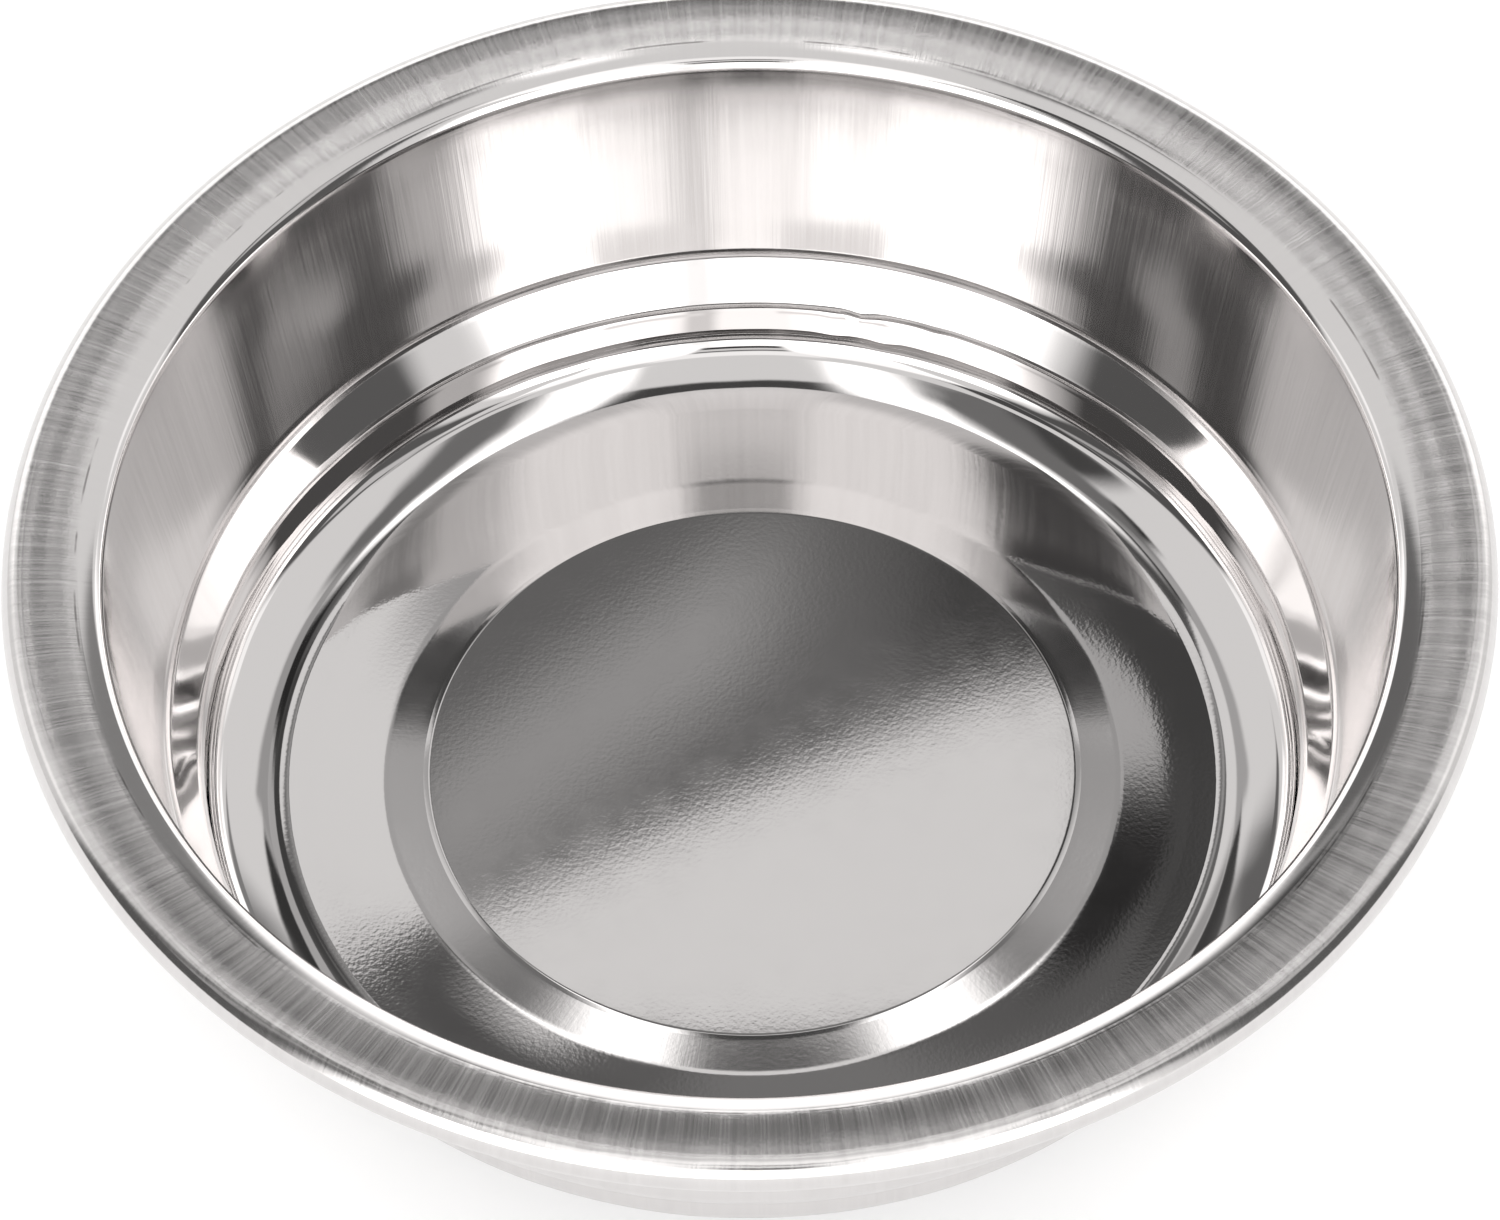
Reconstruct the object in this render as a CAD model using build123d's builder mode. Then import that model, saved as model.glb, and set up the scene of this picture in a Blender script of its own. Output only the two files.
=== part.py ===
"""Magnetic parts tray: a pressed steel dish on a rubber-booted ring magnet.

Millimetres, +Z up. The origin is the centre of the foot ring, on the surface the tray stands on,
and +Z is the axis that the whole tray is round about.
"""

import math
import os

from build123d import *

# Dish: sheet and rolled rim, to the sheet's outer face
sheet = 0.5
rim_radius = 54.0
roll_radius = 1.65

# Dish: radii of the middle of the sheet
lower_wall_top_radius = 40.8
lower_wall_foot_radius = 40.45
flat_floor_radius = 36.0
ramp_outer_radius = 27.4
centre_disc_radius = 24.3

# Dish: heights of the middle of the sheet above the flat floor
rim_crown_height = 27.0
upper_wall_foot_height = 8.05
lower_wall_top_height = 4.8
lower_wall_foot_height = 0.85
centre_disc_rise = 0.4

# Dish: slopes in degrees, the wall's from upright and the rim's from level
upper_wall_draft = 11.0
rim_crown_slope = 17.0
roll_turn = 225.0

# Dish: bends, at the middle of the sheet
disc_edge_bend = 1.2
floor_edge_bend = 16.0
bottom_corner_bend = 2.1
shoulder_edge_bend = 1.8
shoulder_foot_bend = 3.0
wall_to_rim_bend = 0.85
rim_crown_bend = 16.7

# Magnet base: dish_underside is how far the base lifts the dish
dish_underside = 9.5
pad_radius = 23.8
pad_thickness = 0.8
magnet_radius = 27.5
magnet_hole_radius = 12.0
magnet_thickness = 6.0
magnet_edge_chamfer = 0.4
plate_radius = 28.0
plate_thickness = 1.2
plate_edge_round = 0.3
boot_mouth_radius = 31.0
boot_foot_radius = 30.0
boot_bore_radius = 28.2
boot_edge_round = 1.2
foot_ring_width = 4.0
foot_ring_height = 0.6
foot_ring_round = 0.25

# Middle line of the sheet, in the tray's own frame, from the floor up
half_sheet = sheet / 2
floor_height = dish_underside + half_sheet
disc_height = floor_height + centre_disc_rise
crown_height = floor_height + rim_crown_height
roll_line = roll_radius - half_sheet
roll_centre_radius = rim_radius - roll_radius

# The rim's crowned top is an arc that is level at the roll, and runs down into the bend to the wall
draft = math.radians(upper_wall_draft)
slope = math.radians(rim_crown_slope)
crown_centre_height = crown_height - rim_crown_bend
bend_centre_radius = roll_centre_radius - (rim_crown_bend - wall_to_rim_bend) * math.sin(slope)
bend_centre_height = crown_centre_height + (rim_crown_bend - wall_to_rim_bend) * math.cos(slope)
wall_top_radius = bend_centre_radius - wall_to_rim_bend * math.cos(draft)
wall_top_height = bend_centre_height + wall_to_rim_bend * math.sin(draft)
wall_foot_height = floor_height + upper_wall_foot_height
wall_foot_radius = wall_top_radius - (wall_top_height - wall_foot_height) * math.tan(draft)

# Stack of the base, from the dish down
pad_top = disc_height - half_sheet
magnet_top = pad_top - pad_thickness
plate_top = magnet_top - magnet_thickness
boot_floor_top = plate_top - plate_thickness

with BuildPart() as dish:
    with BuildSketch(Plane.XZ):
        with BuildLine():
            FilletPolyline(
                (0, disc_height),
                (centre_disc_radius, disc_height),
                (ramp_outer_radius, floor_height),
                (flat_floor_radius, floor_height),
                (lower_wall_foot_radius, floor_height + lower_wall_foot_height),
                (lower_wall_top_radius, floor_height + lower_wall_top_height),
                (wall_foot_radius, wall_foot_height),
                (wall_top_radius, wall_top_height),
                radius=[
                    disc_edge_bend,
                    disc_edge_bend,
                    floor_edge_bend,
                    bottom_corner_bend,
                    shoulder_edge_bend,
                    shoulder_foot_bend,
                ],
            )
            CenterArc(
                (bend_centre_radius, bend_centre_height),
                wall_to_rim_bend,
                180 - upper_wall_draft,
                upper_wall_draft + rim_crown_slope - 90,
            )
            CenterArc(
                (roll_centre_radius, crown_centre_height),
                rim_crown_bend,
                90 + rim_crown_slope,
                -rim_crown_slope,
            )
            CenterArc(
                (roll_centre_radius, crown_height - roll_line),
                roll_line,
                90,
                -roll_turn,
            )
        trace(line_width=sheet)
    revolve(axis=Axis.Z)
dish.part.label = "dish"

with BuildPart() as adhesive_pad:
    with BuildSketch(Plane.XY.offset(magnet_top)):
        Circle(pad_radius)
    extrude(amount=pad_thickness)
adhesive_pad.part.label = "adhesive_pad"

with BuildPart() as ring_magnet:
    with BuildSketch(Plane.XY.offset(plate_top)):
        Circle(magnet_radius)
        Circle(magnet_hole_radius, mode=Mode.SUBTRACT)
    extrude(amount=magnet_thickness)
    chamfer(ring_magnet.edges().filter_by(GeomType.CIRCLE), length=magnet_edge_chamfer)
ring_magnet.part.label = "ring_magnet"

with BuildPart() as backing_plate:
    with BuildSketch(Plane.XY.offset(boot_floor_top)):
        Circle(plate_radius)
    extrude(amount=plate_thickness)
    fillet(backing_plate.edges().filter_by(GeomType.CIRCLE), radius=plate_edge_round)
backing_plate.part.label = "backing_plate"

with BuildPart() as rubber_boot:
    with BuildSketch(Plane.XY.offset(foot_ring_height)):
        Circle(boot_foot_radius)
    with BuildSketch(Plane.XY.offset(dish_underside)):
        Circle(boot_mouth_radius)
    loft()
    lower_edge = rubber_boot.edges().filter_by(GeomType.CIRCLE).sort_by(Axis.Z)[0]
    fillet(lower_edge, radius=boot_edge_round)
    with BuildSketch(Plane.XY):
        Circle(boot_foot_radius - boot_edge_round)
        Circle(boot_foot_radius - boot_edge_round - foot_ring_width, mode=Mode.SUBTRACT)
    extrude(amount=foot_ring_height)
    foot_edges = rubber_boot.edges().filter_by(GeomType.CIRCLE).group_by(Axis.Z)[0]
    fillet(foot_edges, radius=foot_ring_round)
    with BuildSketch(Plane.XY.offset(boot_floor_top)):
        Circle(boot_bore_radius)
    extrude(amount=dish_underside - boot_floor_top, mode=Mode.SUBTRACT)
rubber_boot.part.label = "rubber_boot"

os.makedirs("parts", exist_ok=True)
export_step(dish.part, "parts/dish.step")
export_step(adhesive_pad.part, "parts/adhesive_pad.step")
export_step(ring_magnet.part, "parts/ring_magnet.step")
export_step(backing_plate.part, "parts/backing_plate.step")
export_step(rubber_boot.part, "parts/rubber_boot.step")
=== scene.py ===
import math

import bpy
import numpy as np
from mathutils import Euler, Matrix, Vector, noise


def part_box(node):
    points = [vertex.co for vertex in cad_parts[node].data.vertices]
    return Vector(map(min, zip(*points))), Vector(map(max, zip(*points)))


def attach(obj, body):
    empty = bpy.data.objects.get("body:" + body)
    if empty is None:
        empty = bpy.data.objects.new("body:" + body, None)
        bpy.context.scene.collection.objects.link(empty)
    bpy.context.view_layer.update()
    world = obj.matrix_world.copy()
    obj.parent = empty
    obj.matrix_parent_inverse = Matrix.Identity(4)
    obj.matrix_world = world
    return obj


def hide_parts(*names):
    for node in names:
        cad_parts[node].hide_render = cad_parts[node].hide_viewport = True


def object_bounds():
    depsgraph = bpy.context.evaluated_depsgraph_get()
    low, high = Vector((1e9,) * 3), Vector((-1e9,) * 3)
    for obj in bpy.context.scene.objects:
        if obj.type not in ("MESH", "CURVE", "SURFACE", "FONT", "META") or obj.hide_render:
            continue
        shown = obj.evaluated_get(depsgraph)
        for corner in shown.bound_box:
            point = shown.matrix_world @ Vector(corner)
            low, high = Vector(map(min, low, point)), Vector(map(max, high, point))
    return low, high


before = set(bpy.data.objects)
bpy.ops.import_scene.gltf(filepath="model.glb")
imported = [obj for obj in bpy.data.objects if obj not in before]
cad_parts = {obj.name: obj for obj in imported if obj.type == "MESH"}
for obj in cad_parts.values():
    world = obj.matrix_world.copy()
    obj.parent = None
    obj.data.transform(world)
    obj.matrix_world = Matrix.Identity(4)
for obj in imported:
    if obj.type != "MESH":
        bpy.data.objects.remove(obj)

cad_low, cad_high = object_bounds()
MM = 0.001

# ---------------------------------------------------------------- dish profile
# The sheet's middle line, as in the CAD dish, from the axis out: radius and height in millimetres.
dish_low, dish_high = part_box("dish")
RIM_RADIUS = dish_high.x / MM
CROWN_HEIGHT = dish_high.z / MM
FLOOR_UNDERSIDE = dish_low.z / MM
SHEET = 0.5
ROLL_RADIUS = 1.65
ROLL_TURN = 225
CROWN_BEND = 16.7
CROWN_SLOPE = 17
WALL_BEND = 0.85
WALL_DRAFT = 11
WALL_FOOT_HEIGHT = 8.05
WALL_FOOT_BEND = 3.0
# The corners from the axis to the top of the lower wall: radius, height over the floor's middle line, bend.
CORNERS = [
    (0.0, 0.4, 0.0),  # middle of the centre disc
    (24.05, 0.4, 0.9),  # edge of the centre disc
    (24.42, 0.36, 0.9),  # head of the ramp
    (27.35, 0.09, 10.0),  # foot of the ramp
    (30.6, 0.0, 150.0),  # where the ramp's curl has died out
    (36.0, 0.0, 16.0),  # outer edge of the flat floor
    (40.45, 0.85, 2.1),  # bottom corner
    (40.8, 4.8, 1.8),  # top of the lower wall
]
# The middle line's points: degrees of bend and millimetres of run between them, on each face.
UPPER_BEND_STEP, UPPER_RUN_STEP = 6.0, 6.0
LOWER_BEND_STEP, LOWER_RUN_STEP = 15.0, 8.0
# A run longer than LONG_RUN has a point at RUN_END from each end, so that its smooth shading stays flat.
LONG_RUN = 1.5
RUN_END = 0.12
SAME_POINT = 1e-4


def bend_points(before, corner, after, radius, step):
    """The points of the arc that rounds a corner of the middle line, one every step degrees."""
    a, b, c = (np.array(p, float) for p in (before, corner, after))
    to_a, to_c = (a - b) / np.linalg.norm(a - b), (c - b) / np.linalg.norm(c - b)
    opening = math.acos(np.clip(to_a @ to_c, -1, 1))
    middle = (to_a + to_c) / np.linalg.norm(to_a + to_c)
    centre = b + middle * radius / math.sin(opening / 2)
    reach = radius / math.tan(opening / 2)
    start, end = b + to_a * reach - centre, b + to_c * reach - centre
    first = math.atan2(start[1], start[0])
    turn = (math.atan2(end[1], end[0]) - first + math.pi) % (2 * math.pi) - math.pi
    return arc_points(centre, radius, math.degrees(first), math.degrees(turn), step)


def arc_points(centre, radius, first, turn, step):
    """The points of an arc from the angle first, through turn degrees, one every step degrees."""
    count = max(3, round(abs(turn) / step))
    return [
        (
            centre[0] + radius * math.cos(math.radians(first + turn * i / count)),
            centre[1] + radius * math.sin(math.radians(first + turn * i / count)),
        )
        for i in range(count + 1)
    ]


def middle_line(step, run_step):
    """The dish's middle line, with a point every step degrees of a bend and every run_step of a run."""
    floor = FLOOR_UNDERSIDE + SHEET / 2
    crown = CROWN_HEIGHT - SHEET / 2
    roll_line = ROLL_RADIUS - SHEET / 2
    roll_centre = RIM_RADIUS - ROLL_RADIUS
    slope, draft = math.radians(CROWN_SLOPE), math.radians(WALL_DRAFT)
    crown_centre = (roll_centre, crown - CROWN_BEND)
    bend_centre = (
        crown_centre[0] - (CROWN_BEND - WALL_BEND) * math.sin(slope),
        crown_centre[1] + (CROWN_BEND - WALL_BEND) * math.cos(slope),
    )
    wall_top = (
        bend_centre[0] - WALL_BEND * math.cos(draft),
        bend_centre[1] + WALL_BEND * math.sin(draft),
    )
    foot_height = floor + WALL_FOOT_HEIGHT
    wall_foot = (wall_top[0] - (wall_top[1] - foot_height) * math.tan(draft), foot_height)
    corners = [(radius, floor + height, bend) for radius, height, bend in CORNERS]
    corners += [(*wall_foot, WALL_FOOT_BEND), (*wall_top, 0)]
    line = [corners[0][:2]]
    for before, corner, after in zip(corners, corners[1:], corners[2:]):
        line += bend_points(before[:2], corner[:2], after[:2], corner[2], step)
    line += arc_points(bend_centre, WALL_BEND, 180 - WALL_DRAFT, WALL_DRAFT + CROWN_SLOPE - 90, step)
    line += arc_points(crown_centre, CROWN_BEND, 90 + CROWN_SLOPE, -CROWN_SLOPE, step / 2)[1:]
    line += arc_points((roll_centre, crown - roll_line), roll_line, 90, -ROLL_TURN, 1.6 * step)[1:]
    full = [line[0]]
    for point in line[1:]:
        gap = math.dist(full[-1], point)
        if gap < SAME_POINT:
            continue
        ends = (RUN_END / gap, 1 - RUN_END / gap) if gap > LONG_RUN else ()
        pieces = math.ceil(gap / run_step)
        start = full[-1]
        full += [
            (start[0] + (point[0] - start[0]) * share, start[1] + (point[1] - start[1]) * share)
            for share in sorted({i / pieces for i in range(1, pieces + 1)} | set(ends))
        ]
    return np.array(full)


def offset_line(line, distance):
    """The line moved to its left by distance."""
    along = np.gradient(line, axis=0)
    along[0] = (1, 0)
    along /= np.linalg.norm(along, axis=1)[:, None]
    return line + distance * np.stack([-along[:, 1], along[:, 0]], -1)


# ---------------------------------------------------------------- dish mesh
SEGMENTS = 540
# The satin finish begins at this radius, and ends this many rows before the edge under the roll.
SATIN_RADIUS = 48.5
EDGE_ROWS = 6
# Radii and heights here are in millimetres, from the axis and from the floor's underside.
# Puckers: the rows they may touch, their depth, the radii where they begin, are full and end, how many there
# are round the rim, and where they are deepest and by how much.
RIM_FROM, RIM_ABOVE = 48.6, 24
PUCKER_DEPTH = 0.03
PUCKERS_FROM, PUCKERS_FULL_FROM = 48.7, 50.2
PUCKERS_FULL_TO, PUCKERS_TO = 52.4, 53.6
PUCKERS_AROUND, SWELLS_AROUND = 150, 46
PUCKERS_MOST = math.radians(-35)
PUCKERS_UNEVEN = 0.45
# The floor's fall between the ramp and the corner: how much a millimetre, and the radii of its band.
FLOOR_FALL = 0.0087
FALL_FROM = 28
FLOOR_BELOW = 2.5
FALL_STARTS, FALL_FULL_FROM = 27.4, 28.6
FALL_FULL_TO, FALL_ENDS = 34.6, 38.0
# The wander of the corner and the lower wall: the rows it may touch, its size, where it begins and ends, and
# its waves round the dish.
CORNER_FROM, CORNER_TO, CORNER_BELOW = 35, 43.5, 9
CORNER_WANDER = 0.03
WANDER_STARTS, WANDER_FULL_FROM = 35.2, 38
WANDER_FULL_BELOW, WANDER_BELOW = 5.5, 8.5
BROAD_WAVES, FINE_WAVES = 13, 41
# Small dents that the die left low in the wall: bearing, height, depth.
DENTS = [(80.5, 3.6, 0.1), (77.5, 4.6, 0.14), (75.0, 3.4, 0.1), (69.5, 4.2, 0.06), (33.0, 4.0, 0.08)]
DENT_HALF_WIDTH = 0.022
DENT_HALF_HEIGHT = 0.9


def smooth_step(value, low, high):
    """0 below low, 1 above high, and a soft rise in between."""
    t = np.clip((value - low) / (high - low), 0, 1)
    return t * t * (3 - 2 * t)


def wave(cos, sin, crests, climb, seed):
    """Smooth noise round the dish, about -1 to 1, with that many crests a turn.

    climb changes it up the sheet, and seed picks another noise.
    """
    reach = crests / math.pi
    flat = [
        noise.noise(Vector((c * reach, s * reach, k + seed)))
        for c, s, k in zip(cos.ravel(), sin.ravel(), np.broadcast_to(climb, cos.shape).ravel())
    ]
    return 2 * np.array(flat).reshape(cos.shape)


def pucker_rim(xyz, radius, height, cos, sin):
    """Puckers, on the crowned rim only, and always into the sheet, so that the tray keeps its height."""
    rows = (radius[:, 0] > RIM_FROM) & (height[:, 0] > RIM_ABOVE)
    puckers = wave(cos[rows], sin[rows], PUCKERS_AROUND, radius[rows] / 9, 3.0)
    swells = wave(cos[rows], sin[rows], SWELLS_AROUND, radius[rows] / 20, 11.0)
    reach = smooth_step(radius[rows], PUCKERS_FROM, PUCKERS_FULL_FROM)
    reach = reach * (1 - smooth_step(radius[rows], PUCKERS_FULL_TO, PUCKERS_TO))
    toward_most = cos[rows] * math.cos(PUCKERS_MOST) + sin[rows] * math.sin(PUCKERS_MOST)
    uneven = 1 - PUCKERS_UNEVEN + PUCKERS_UNEVEN * toward_most
    depth = PUCKER_DEPTH * uneven * np.maximum(1 + 0.75 * puckers + 0.25 * swells, 0)
    xyz[rows, :, 2] -= reach * depth


def drop_floor(xyz, radius, height, faces_up):
    """The fall of the floor's upper face from the ramp outward, which dies out before the corner."""
    upper = (np.arange(len(radius)) < faces_up)[:, None] & (height < FLOOR_BELOW)
    band = smooth_step(radius, FALL_STARTS, FALL_FULL_FROM)
    band = band * (1 - smooth_step(radius, FALL_FULL_TO, FALL_ENDS))
    xyz[..., 2] -= band * upper * (FLOOR_FALL * (radius - FALL_FROM))


def press_corner(xyz, radius, height, cos, sin):
    """The wander of the bottom corner and the lower wall, in and out, and the dents in the wall."""
    rows = (radius[:, 0] > CORNER_FROM) & (radius[:, 0] < CORNER_TO) & (height[:, 0] < CORNER_BELOW)
    broad = wave(cos[rows], sin[rows], BROAD_WAVES, height[rows] / 6, 29.0)
    fine = wave(cos[rows], sin[rows], FINE_WAVES, height[rows] / 3, 37.0)
    reach = smooth_step(radius[rows], WANDER_STARTS, WANDER_FULL_FROM)
    reach = reach * (1 - smooth_step(height[rows], WANDER_FULL_BELOW, WANDER_BELOW))
    push = CORNER_WANDER * reach * (broad + 0.4 * fine)
    turn = np.arctan2(sin[rows], cos[rows])
    for bearing, level, depth in DENTS:
        aside = (turn - math.radians(bearing)) / DENT_HALF_WIDTH
        above = (height[rows] - level) / DENT_HALF_HEIGHT
        push = push - depth * np.exp(-(aside**2) - above**2)
    xyz[rows, :, 0] += push * cos[rows]
    xyz[rows, :, 1] += push * sin[rows]


def shape_sheet(xyz, cos, sin, faces_up):
    """What the press leaves in the sheet: puckers across the rim, a falling floor, an uneven corner."""
    radius = np.hypot(xyz[..., 0], xyz[..., 1])
    height = xyz[..., 2] - FLOOR_UNDERSIDE
    cos, sin = (np.broadcast_to(value, radius.shape) for value in (cos, sin))
    pucker_rim(xyz, radius, height, cos, sin)
    drop_floor(xyz, radius, height, faces_up)
    press_corner(xyz, radius, height, cos, sin)


def build_dish():
    """The pressing as one closed mesh: the upper face, the rolled edge and the underside, turned round Z."""
    upper = offset_line(middle_line(UPPER_BEND_STEP, UPPER_RUN_STEP), SHEET / 2)
    lower = offset_line(middle_line(LOWER_BEND_STEP, LOWER_RUN_STEP), -SHEET / 2)[::-1]
    outline = np.vstack([upper, lower])
    faces_up = len(upper)
    along = np.concatenate([[0], np.cumsum(np.linalg.norm(np.diff(outline, axis=0), axis=1))])
    angle = np.linspace(0, 2 * math.pi, SEGMENTS, endpoint=False)
    radius = np.repeat(outline[:, :1], SEGMENTS, 1)
    height = np.repeat(outline[:, 1:], SEGMENTS, 1)
    cos, sin = np.cos(angle)[None, :], np.sin(angle)[None, :]
    xyz = np.stack([radius * cos, radius * sin, height], -1)
    shape_sheet(xyz, cos, sin, faces_up)
    # The two ends of the outline lie on the axis, and each is one vertex.
    rows = len(outline)
    vertices = [tuple(xyz[0, 0])]
    vertices += [tuple(p) for p in xyz[1 : rows - 1].reshape(-1, 3)]
    vertices += [tuple(xyz[rows - 1, 0])]
    inner = rows - 2

    def index(row, column):
        return 1 + row * SEGMENTS + column % SEGMENTS

    faces = [(0, index(0, c), index(0, c + 1)) for c in range(SEGMENTS)]
    for row in range(inner - 1):
        faces += [
            (index(row, c), index(row + 1, c), index(row + 1, c + 1), index(row, c + 1))
            for c in range(SEGMENTS)
        ]
    last = len(vertices) - 1
    faces += [(last, index(inner - 1, c + 1), index(inner - 1, c)) for c in range(SEGMENTS)]
    mesh = bpy.data.meshes.new("dish_pressing")
    mesh.from_pydata([Vector(v) * MM for v in vertices], [], faces)
    mesh.validate()
    mesh.polygons.foreach_set("use_smooth", [True] * len(mesh.polygons))
    # The first material is the bowl's, and the second the rim's, from the line at the top of the wall out.
    satin_from = int(np.argmax((outline[:, 0] > SATIN_RADIUS) & (np.arange(rows) < faces_up)))
    ring = [max(0, (min(p.vertices) - 1) // SEGMENTS) + 1 for p in mesh.polygons]
    in_satin = [int(satin_from <= row < faces_up - EDGE_ROWS) for row in ring]
    mesh.polygons.foreach_set("material_index", in_satin)
    # Each vertex keeps its bearing and its distance along the outline, which the streaks follow.
    draw = mesh.attributes.new("draw", "FLOAT_VECTOR", "POINT")
    values = np.zeros((len(vertices), 3), np.float32)
    values[0] = (1, 0, 0)
    values[-1] = (1, 0, along[-1] * MM)
    values[1:-1, 0] = np.repeat(cos, inner, 0).ravel()
    values[1:-1, 1] = np.repeat(sin, inner, 0).ravel()
    values[1:-1, 2] = np.repeat(along[1:-1, None], SEGMENTS, 1).ravel() * MM
    draw.data.foreach_set("vector", values.ravel())
    mesh.update()
    piece = bpy.data.objects.new("dish_pressing", mesh)
    bpy.context.scene.collection.objects.link(piece)
    return piece


def upper_face():
    """The upper face's points and their distance along it from the middle, in millimetres."""
    line = offset_line(middle_line(UPPER_BEND_STEP, UPPER_RUN_STEP), SHEET / 2)
    return line, np.concatenate([[0], np.cumsum(np.linalg.norm(np.diff(line, axis=0), axis=1))])


FACE, FACE_PLACE = upper_face()
FLOOR_TOP = FLOOR_UNDERSIDE + SHEET
DECIMETRE = 100.0
WALL_TOP = 25.0


def on_floor(radius):
    """Where on the upper face the floor has that radius, in decimetres along the face."""
    return float(np.interp(radius, FACE[:, 0], FACE_PLACE)) / DECIMETRE


def on_wall(height):
    """Where the walls reach that height above the floor, in decimetres along the face."""
    top = int(np.argmax(FACE[:, 1]))
    return float(np.interp(height, FACE[:top, 1] - FLOOR_TOP, FACE_PLACE[:top])) / DECIMETRE


def on_rim(radius):
    """Where the rim has that radius, out to its edge, in decimetres along the face."""
    top, edge = int(np.searchsorted(FACE_PLACE, DECIMETRE * on_wall(WALL_TOP))), int(np.argmax(FACE[:, 0]))
    return float(np.interp(radius, FACE[top : edge + 1, 0], FACE_PLACE[top : edge + 1])) / DECIMETRE


dish = build_dish()
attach(dish, "root")
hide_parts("dish")

# ---------------------------------------------------------------- camera
SENSOR_WIDTH = 36
LENS = 227.97
CAMERA_PLACE = (0, -0.4166, 0.5802)
CAMERA_PITCH = 0.92283
CAMERA_ROLL = -0.014
camera_data = bpy.data.cameras.new("camera")
camera_data.sensor_width = SENSOR_WIDTH
camera_data.lens = LENS
camera_data.clip_start = 0.01
camera_data.clip_end = 20
camera = bpy.data.objects.new("camera", camera_data)
bpy.context.scene.collection.objects.link(camera)
camera.location = CAMERA_PLACE
tilt = Euler((math.pi / 2 - CAMERA_PITCH, 0, 0)).to_matrix()
camera.rotation_euler = (tilt @ Matrix.Rotation(CAMERA_ROLL, 3, "Z")).to_euler()
bpy.context.scene.camera = camera

# ---------------------------------------------------------------- materials


class Nodes:
    """Short calls for building one node tree."""

    def __init__(self, tree):
        self.tree = tree
        tree.nodes.clear()

    def put(self, kind, inputs=None, **settings):
        node = self.tree.nodes.new(kind)
        for name, value in settings.items():
            setattr(node, name, value)
        for name, value in (inputs or {}).items():
            self.feed(node.inputs[name], value)
        return node

    def feed(self, socket, value):
        if isinstance(value, bpy.types.NodeSocket):
            self.tree.links.new(value, socket)
        else:
            socket.default_value = value

    def math(self, operation, *values, clamp=False):
        node = self.put("ShaderNodeMath", operation=operation, use_clamp=clamp)
        for socket, value in zip(node.inputs, values):
            self.feed(socket, value)
        return node.outputs[0]

    def spread(self, value, low, high, to_low=0.0, to_high=1.0):
        """value taken from low..high to to_low..to_high, with soft ends."""
        node = self.put(
            "ShaderNodeMapRange",
            {"Value": value, "From Min": low, "From Max": high, "To Min": to_low, "To Max": to_high},
            interpolation_type="SMOOTHSTEP",
        )
        return node.outputs["Result"]

    def mix(self, share, first, second):
        node = self.put("ShaderNodeMix", data_type="FLOAT")
        self.feed(node.inputs["Factor"], share)
        self.feed(node.inputs["A"], first)
        self.feed(node.inputs["B"], second)
        return node.outputs["Result"]

    def mix_colour(self, share, first, second):
        node = self.put("ShaderNodeMix", data_type="RGBA")
        self.feed(node.inputs["Factor"], share)
        self.feed(node.inputs["A"], first)
        self.feed(node.inputs["B"], second)
        return node.outputs["Result"]

    def noise(self, vector, scale, detail=2.0, roughness=0.5):
        node = self.put(
            "ShaderNodeTexNoise",
            {"Vector": vector, "Scale": scale, "Detail": detail, "Roughness": roughness},
            noise_dimensions="3D",
        )
        return node.outputs["Fac"]

    def scaled(self, vector, by):
        node = self.put("ShaderNodeVectorMath", {0: vector, 1: by}, operation="MULTIPLY")
        return node.outputs["Vector"]

    def steps(self, position, stops):
        """A value that runs straight between (position, value) stops, in 0..1."""
        node = self.put("ShaderNodeValToRGB", {"Fac": position})
        ramp = node.color_ramp
        while len(ramp.elements) < len(stops):
            ramp.elements.new(0.5)
        for element, (place, value) in zip(ramp.elements, stops):
            element.position = place
        for element, (place, value) in zip(ramp.elements, stops):
            element.color = (value, value, value, 1)
        return node.outputs["Color"]


def new_material(name):
    """A material and the calls that fill its node tree."""
    material = bpy.data.materials.new(name)
    material.use_nodes = True
    return material, Nodes(material.node_tree)


# Along the upper face from its middle: how rough the steel is, how strong the drawing streaks are, and how
# strong the orange peel is.
FINISH = [
    # place, roughness, streaks, grain
    (0.0, 0.03, 0.0, 0.22),
    (on_floor(23.6), 0.03, 0.0, 0.22),
    (on_floor(24.1), 0.04, 0.0, 0.1),
    (on_floor(24.9), 0.07, 0.03, 0.3),
    (on_floor(27.0), 0.07, 0.03, 0.3),
    (on_floor(27.8), 0.04, 0.0, 0.55),
    (on_floor(34.0), 0.04, 0.0, 0.55),
    (on_floor(35.0), 0.03, 0.0, 0.08),
    (on_wall(7.0), 0.05, 0.0, 0.0),
    (on_wall(9.5), 0.12, 0.4, 0.0),
    (on_wall(22.0), 0.15, 0.6, 0.0),
    (on_wall(24.8), 0.07, 0.1, 0.0),
    (on_rim(48.4), 0.08, 0.1, 0.05),
    (on_rim(48.9), 0.225, 1.0, 2.5),
    (on_rim(52.7), 0.225, 1.0, 2.5),
    (on_rim(53.5), 0.1, 0.2, 0.1),
    (on_rim(54.0), 0.25, 0.4, 1.0),
]
ROUGHNESS_STOPS = [(place, rough) for place, rough, streaks, grain in FINISH]
STREAK_STOPS = [(place, streaks) for place, rough, streaks, grain in FINISH]
GRAIN_STOPS = [(place, grain) for place, rough, streaks, grain in FINISH]
DIE_LINE_RADIUS = 48.65
DECIMETRES_A_METRE = 10.0
# How far the streaks and the orange peel stand out of the sheet, in metres.
STREAK_HEIGHT = 0.00001
PEEL_HEIGHT = 0.000002
POLISHED_ANISOTROPY = 0.3
SATIN_ANISOTROPY = 0.75


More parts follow.
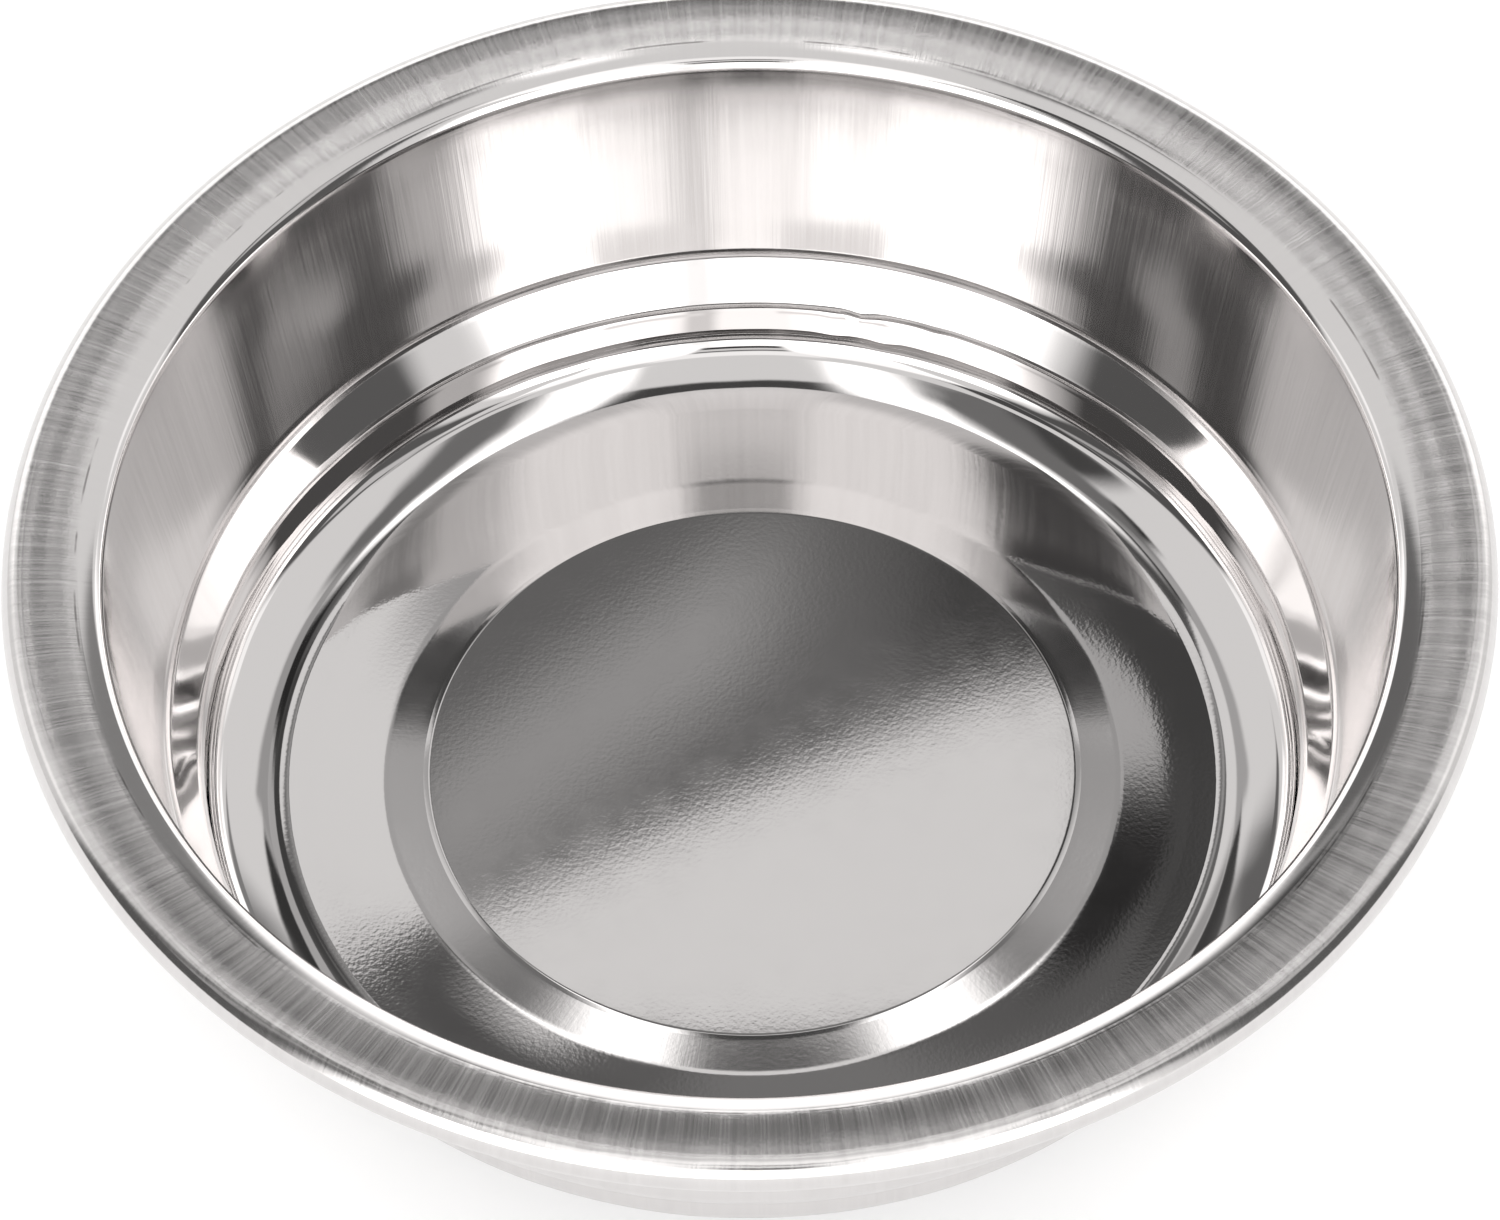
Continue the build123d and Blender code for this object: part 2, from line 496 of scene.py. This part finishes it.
def steel_material(name, anisotropic):
    """Drawn stainless sheet, with the finish that FINISH gives along the face."""
    material, n = new_material(name)
    draw = n.put("ShaderNodeAttribute", attribute_name="draw").outputs["Vector"]
    place = n.put("ShaderNodeTexCoord").outputs["Object"]
    apart = n.put("ShaderNodeSeparateXYZ", {0: draw})
    along = n.math("MULTIPLY", apart.outputs["Z"], DECIMETRES_A_METRE)
    fine_streaks = n.noise(n.scaled(draw, (240, 240, 60)), 1.0, 2.0, 0.6)
    broad_streaks = n.noise(n.scaled(draw, (62, 62, 45)), 1.0, 2.0, 0.5)
    stretches = n.noise(n.scaled(draw, (7, 7, 5)), 1.0, 3.0, 0.6)
    grain = n.noise(place, 3200.0, 1.0, 0.5)
    mottle = n.noise(place, 420.0, 3.0, 0.55)
    roughness = n.steps(along, ROUGHNESS_STOPS)
    streaks = n.steps(along, STREAK_STOPS)
    peel = n.steps(along, GRAIN_STOPS)
    varied = n.math("MULTIPLY_ADD", n.math("SUBTRACT", mottle, 0.5), 0.03, roughness)
    streaked = n.math(
        "MULTIPLY_ADD", n.math("MULTIPLY", n.math("SUBTRACT", fine_streaks, 0.5), streaks), 0.2, varied
    )
    both_streaks = n.math("MULTIPLY_ADD", fine_streaks, 0.9, n.math("MULTIPLY", broad_streaks, 1.1))
    streak_height = n.math("MULTIPLY", both_streaks, streaks)
    bump_streaks = n.put(
        "ShaderNodeBump", {"Height": streak_height, "Distance": STREAK_HEIGHT, "Strength": 1.0}
    ).outputs["Normal"]
    bump = n.put(
        "ShaderNodeBump",
        {
            "Height": n.math("MULTIPLY", grain, peel),
            "Distance": PEEL_HEIGHT,
            "Strength": 1.0,
            "Normal": bump_streaks,
        },
    ).outputs["Normal"]
    shade = n.math("MULTIPLY_ADD", n.math("SUBTRACT", streak_height, streaks), 0.8, 0.55, clamp=True)
    sheet_colour = n.mix_colour(shade, (0.53, 0.515, 0.51, 1), (0.745, 0.73, 0.725, 1))
    # The die leaves a dark line, in stretches, where the satin rim meets the polished bowl.
    beside = n.math("ABSOLUTE", n.math("SUBTRACT", along, on_rim(DIE_LINE_RADIUS)))
    line = n.math("MULTIPLY", n.spread(beside, 0.0002, 0.0012, 1.0, 0.0), n.spread(stretches, 0.5, 0.62))
    colour = n.mix_colour(line, sheet_colour, (0.3, 0.29, 0.285, 1))
    shader = n.put(
        "ShaderNodeBsdfPrincipled",
        {
            "Base Color": colour,
            "Metallic": 1.0,
            "Roughness": streaked,
            "Normal": bump,
            "Anisotropic": anisotropic,
            "Tangent": n.put("ShaderNodeTangent", direction_type="RADIAL", axis="Z").outputs[0],
        },
    )
    n.put("ShaderNodeOutputMaterial", {"Surface": shader.outputs[0]})
    return material


dish.data.materials.append(steel_material("stainless_polished", POLISHED_ANISOTROPY))
dish.data.materials.append(steel_material("stainless_satin", SATIN_ANISOTROPY))


def rubber_material():
    """Matt moulded rubber, for the boot."""
    material, n = new_material("black_rubber")
    place = n.put("ShaderNodeTexCoord").outputs["Object"]
    grain = n.noise(place, 3500.0, 3.0, 0.6)
    cloud = n.noise(place, 180.0, 3.0, 0.6)
    colour = n.mix_colour(cloud, (0.012, 0.012, 0.013, 1), (0.028, 0.027, 0.027, 1))
    roughness = n.spread(cloud, 0.3, 0.7, 0.5, 0.68)
    bump = n.put("ShaderNodeBump", {"Height": grain, "Distance": 0.00003, "Strength": 0.7})
    shader = n.put(
        "ShaderNodeBsdfPrincipled",
        {"Base Color": colour, "Roughness": roughness, "Normal": bump.outputs["Normal"]},
    )
    n.put("ShaderNodeOutputMaterial", {"Surface": shader.outputs[0]})
    return material


def ferrite_material():
    """Ground ferrite, for the ring magnet."""
    material, n = new_material("ferrite")
    place = n.put("ShaderNodeTexCoord").outputs["Object"]
    specks = n.noise(place, 1500.0, 4.0, 0.7)
    grind = n.noise(n.scaled(place, (260, 2600, 260)), 1.0, 2.0, 0.5)
    colour = n.mix_colour(specks, (0.022, 0.022, 0.024, 1), (0.07, 0.068, 0.066, 1))
    roughness = n.spread(grind, 0.3, 0.7, 0.42, 0.62)
    bump = n.put("ShaderNodeBump", {"Height": grind, "Distance": 0.00003, "Strength": 0.6})
    shader = n.put(
        "ShaderNodeBsdfPrincipled",
        {"Base Color": colour, "Roughness": roughness, "Normal": bump.outputs["Normal"]},
    )
    n.put("ShaderNodeOutputMaterial", {"Surface": shader.outputs[0]})
    return material


def plated_material():
    """Rolled and plated steel, for the plate under the magnet."""
    material, n = new_material("plated_steel")
    place = n.put("ShaderNodeTexCoord").outputs["Object"]
    spangle = n.noise(place, 240.0, 3.0, 0.6)
    rolled = n.noise(n.scaled(place, (3000, 120, 120)), 1.0, 2.0, 0.5)
    colour = n.mix_colour(spangle, (0.42, 0.43, 0.44, 1), (0.56, 0.57, 0.57, 1))
    roughness = n.spread(rolled, 0.3, 0.7, 0.26, 0.42)
    bump = n.put("ShaderNodeBump", {"Height": rolled, "Distance": 0.000002, "Strength": 0.6})
    shader = n.put(
        "ShaderNodeBsdfPrincipled",
        {"Base Color": colour, "Metallic": 1.0, "Roughness": roughness, "Normal": bump.outputs["Normal"]},
    )
    n.put("ShaderNodeOutputMaterial", {"Surface": shader.outputs[0]})
    return material


def foam_material():
    """Closed-cell foam tape, for the bonding pad."""
    material, n = new_material("foam_adhesive")
    place = n.put("ShaderNodeTexCoord").outputs["Object"]
    cells = n.put("ShaderNodeTexVoronoi", {"Vector": place, "Scale": 3000.0}).outputs["Distance"]
    cloud = n.noise(place, 300.0, 2.0, 0.5)
    colour = n.mix_colour(cloud, (0.62, 0.6, 0.56, 1), (0.74, 0.72, 0.69, 1))
    roughness = n.spread(cloud, 0.3, 0.7, 0.75, 0.92)
    bump = n.put("ShaderNodeBump", {"Height": cells, "Distance": 0.0001, "Strength": 0.7})
    shader = n.put(
        "ShaderNodeBsdfPrincipled",
        {"Base Color": colour, "Roughness": roughness, "Normal": bump.outputs["Normal"]},
    )
    n.put("ShaderNodeOutputMaterial", {"Surface": shader.outputs[0]})
    return material


for node_name, maker in (
    ("rubber_boot", rubber_material),
    ("ring_magnet", ferrite_material),
    ("backing_plate", plated_material),
    ("adhesive_pad", foam_material),
):
    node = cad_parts[node_name]
    made = maker()
    if not node.material_slots:
        node.data.materials.append(made)
    for material_slot in node.material_slots:
        material_slot.material = made

# ---------------------------------------------------------------- studio
HALF_FLOOR = 6.0
FLOOR_GAP = 0.0002
floor_corners = [(HALF_FLOOR * x, HALF_FLOOR * y, 0) for x, y in ((-1, -1), (1, -1), (1, 1), (-1, 1))]
floor_mesh = bpy.data.meshes.new("floor")
floor_mesh.from_pydata(floor_corners, [], [(0, 1, 2, 3)])
floor = bpy.data.objects.new("floor", floor_mesh)
bpy.context.scene.collection.objects.link(floor)
floor.location.z = cad_low.z - FLOOR_GAP


def floor_material():
    material, n = new_material("pale_floor")
    shader = n.put(
        "ShaderNodeBsdfPrincipled",
        {
            "Base Color": (0.76, 0.76, 0.76, 1),
            "Roughness": 0.9,
            "Emission Color": (1, 1, 1, 1),
            "Emission Strength": 0.34,
        },
    )
    n.put("ShaderNodeOutputMaterial", {"Surface": shader.outputs[0]})
    return material


floor_mesh.materials.append(floor_material())

BASE_LIGHT = 0.95
# Panels, in degrees: from and to azimuth (from +X), softness of the sides, from and to elevation, softness of
# the lower and of the upper edge, slant of both edges in degrees a degree; then brightness. A later one
# covers an earlier one.
PANELS = [
    (172, 211, 3, -20, 60, 3, 1.5, 0.0, 0.12),
    (329, 368, 3, -20, 60, 3, 1.5, 0.0, 0.14),
    (186.5, 195.5, 2, 33, 60, 2, 1, 0.0, 0.55),
    (346, 361, 2, 36, 60, 2, 1, 0.0, 0.75),
    (217, 316, 4, -5, 44, 2, 1, 0.0, 2.4),
    (221, 259, 4, -5, 44, 2, 1, 0.0, 3.6),
    (286, 313, 4, -5, 44, 2, 1, 0.0, 3.6),
    (275.5, 281, 1.5, -5, 44, 2, 1, 0.0, 1.5),
    (147, 167, 3, 22, 36, 3, 1.5, 0.0, 1.4),
    (13, 33, 3, 22, 36, 3, 1.5, 0.0, 1.4),
    (40, 140, 4, 5, 29, 4, 2, 0.0, 1.7),
    (70.5, 78, 1, 50.5, 62, 0.5, 1, 0.0, 0.45),
    (102.5, 109.5, 1, 50.3, 61, 0.5, 1, 0.0, 0.52),
    (77.5, 83, 1, 33, 55, 3, 1, 0.0, 0.55),
    (73.2, 78, 0.5, 32, 50.2, 3, 1, 0.0, 0.05),
    (102, 106.8, 0.5, 32, 50.3, 3, 0.6, 0.0, 0.07),
    (55, 75, 3, 30, 44, 2, 2, 0.0, 0.3),
    (106.8, 126, 3, 30, 47, 2, 2, 0.0, 0.18),
    (82.4, 102, 1.5, 30, 47, 2, 1.5, 0.0, 0.06),
    (94.4, 102, 1, 47, 51, 1, 1, 0.0, 0.45),
    (82.4, 94.4, 0.4, 32, 53.56, 3, 0.15, 0.245, 0.17),
    (89.7, 93.8, 0.8, 53.1, 54.0, 0.35, 0.4, 0.4, 0.42),
    (85.6, 88.4, 0.7, 52.2, 53.2, 0.3, 0.3, 0.0, 0.07),
    (82.4, 86.4, 0.4, 50, 62, 2, 1, 0.0, 0.07),
    (80.0, 84, 0.4, 53.6, 62, 0.5, 1, 0.0, 0.09),
    (77.0, 83, 0.6, 54.3, 60, 0.5, 1, 0.0, 0.03),
    (97.5, 103, 0.8, 57, 61, 0.5, 0.7, 0.0, 0.02),
    (107.5, 113, 0.8, 60.3, 63, 0.5, 0.5, 0.0, 0.03),
    (109, 123, 1.5, 64.5, 71.5, 1, 1, 0.0, 0.08),
    (160, 204, 3, 60, 74.5, 3, 1, 0.0, 0.09),
    (0, 18, 3, 62, 75, 3, 1, 0.0, 0.35),
    (93.7, 102, 0.3, 56.0, 63.5, 0.15, 1, 0.29, 0.1),
]
# Strips that run over the tray from back to front: nearest and farthest from the middle, from and to in
# degrees up from the back, softness of their ends, brightness.
STRIPS_MIDDLE = 0.012
STRIP_SIDE_SOFT = 0.012
STRIPS = [
    (0.1, 0.36, 100, 150, 4, 1.8),
    (0.06, 0.108, 59, 78, 2, 2.2),
    (0.122, 0.183, 61, 75, 1.5, 0.22),
    (-1.0, 0.056, 55.5, 62, 0.15, 0.14),
    (-1.0, 0.03, 55.5, 62, 0.15, 0.24),
    (-1.0, 0.052, 65.5, 71, 0.5, 0.08),
    (0.1, 0.3, 96, 111, 3, 1.6),
    (-1.0, 0.1, 90, 109, 3, 1.35),
    (-1.0, 0.09, 111, 116, 1, 0.2),
    (-1.0, 0.09, 125, 133, 1.5, 0.03),
]

def studio_world():
    """Soft panels of light round the tray and the darker gaps between them."""
    world = bpy.data.worlds.new("studio")
    bpy.context.scene.world = world
    world.use_nodes = True
    n = Nodes(world.node_tree)
    way = n.put("ShaderNodeTexCoord").outputs["Generated"]
    apart = n.put("ShaderNodeSeparateXYZ", {0: way})
    x, y, z = (apart.outputs[axis] for axis in "XYZ")
    azimuth = n.math("MULTIPLY", n.math("ARCTAN2", y, x), 180 / math.pi)
    elevation = n.math("MULTIPLY", n.math("ARCSINE", z), 180 / math.pi)
    light = BASE_LIGHT
    for left, right, side_soft, low, high, low_soft, high_soft, slant, level in PANELS:
        turn = n.math("WRAP", n.math("SUBTRACT", azimuth, (left + right) / 2), 180.0, -180.0)
        half = (right - left) / 2
        across = n.spread(n.math("ABSOLUTE", turn), half - side_soft, half + side_soft, 1.0, 0.0)
        climb = n.math("MULTIPLY_ADD", turn, -slant, elevation)
        above = n.spread(climb, low - low_soft, low + low_soft)
        below = n.spread(climb, high - high_soft, high + high_soft, 1.0, 0.0)
        share = n.math("MULTIPLY", across, n.math("MULTIPLY", above, below))
        light = n.mix(share, light, level)
    over = n.math("MULTIPLY", n.math("ARCTAN2", z, y), 180 / math.pi)
    side = n.math("ABSOLUTE", n.math("SUBTRACT", x, STRIPS_MIDDLE))
    for inner, outer, low, high, soft, level in STRIPS:
        across = n.math(
            "MULTIPLY",
            n.spread(side, inner - STRIP_SIDE_SOFT, inner + STRIP_SIDE_SOFT),
            n.spread(side, outer - STRIP_SIDE_SOFT, outer + STRIP_SIDE_SOFT, 1.0, 0.0),
        )
        lengthwise = n.math(
            "MULTIPLY",
            n.spread(over, low - soft, low + soft),
            n.spread(over, high - soft, high + soft, 1.0, 0.0),
        )
        light = n.mix(n.math("MULTIPLY", across, lengthwise), light, level)
    background = n.put("ShaderNodeBackground", {"Color": (1, 0.99, 0.985, 1), "Strength": light})
    n.put("ShaderNodeOutputWorld", {"Surface": background.outputs[0]})


studio_world()
bpy.context.scene.view_settings.view_transform = "Standard"
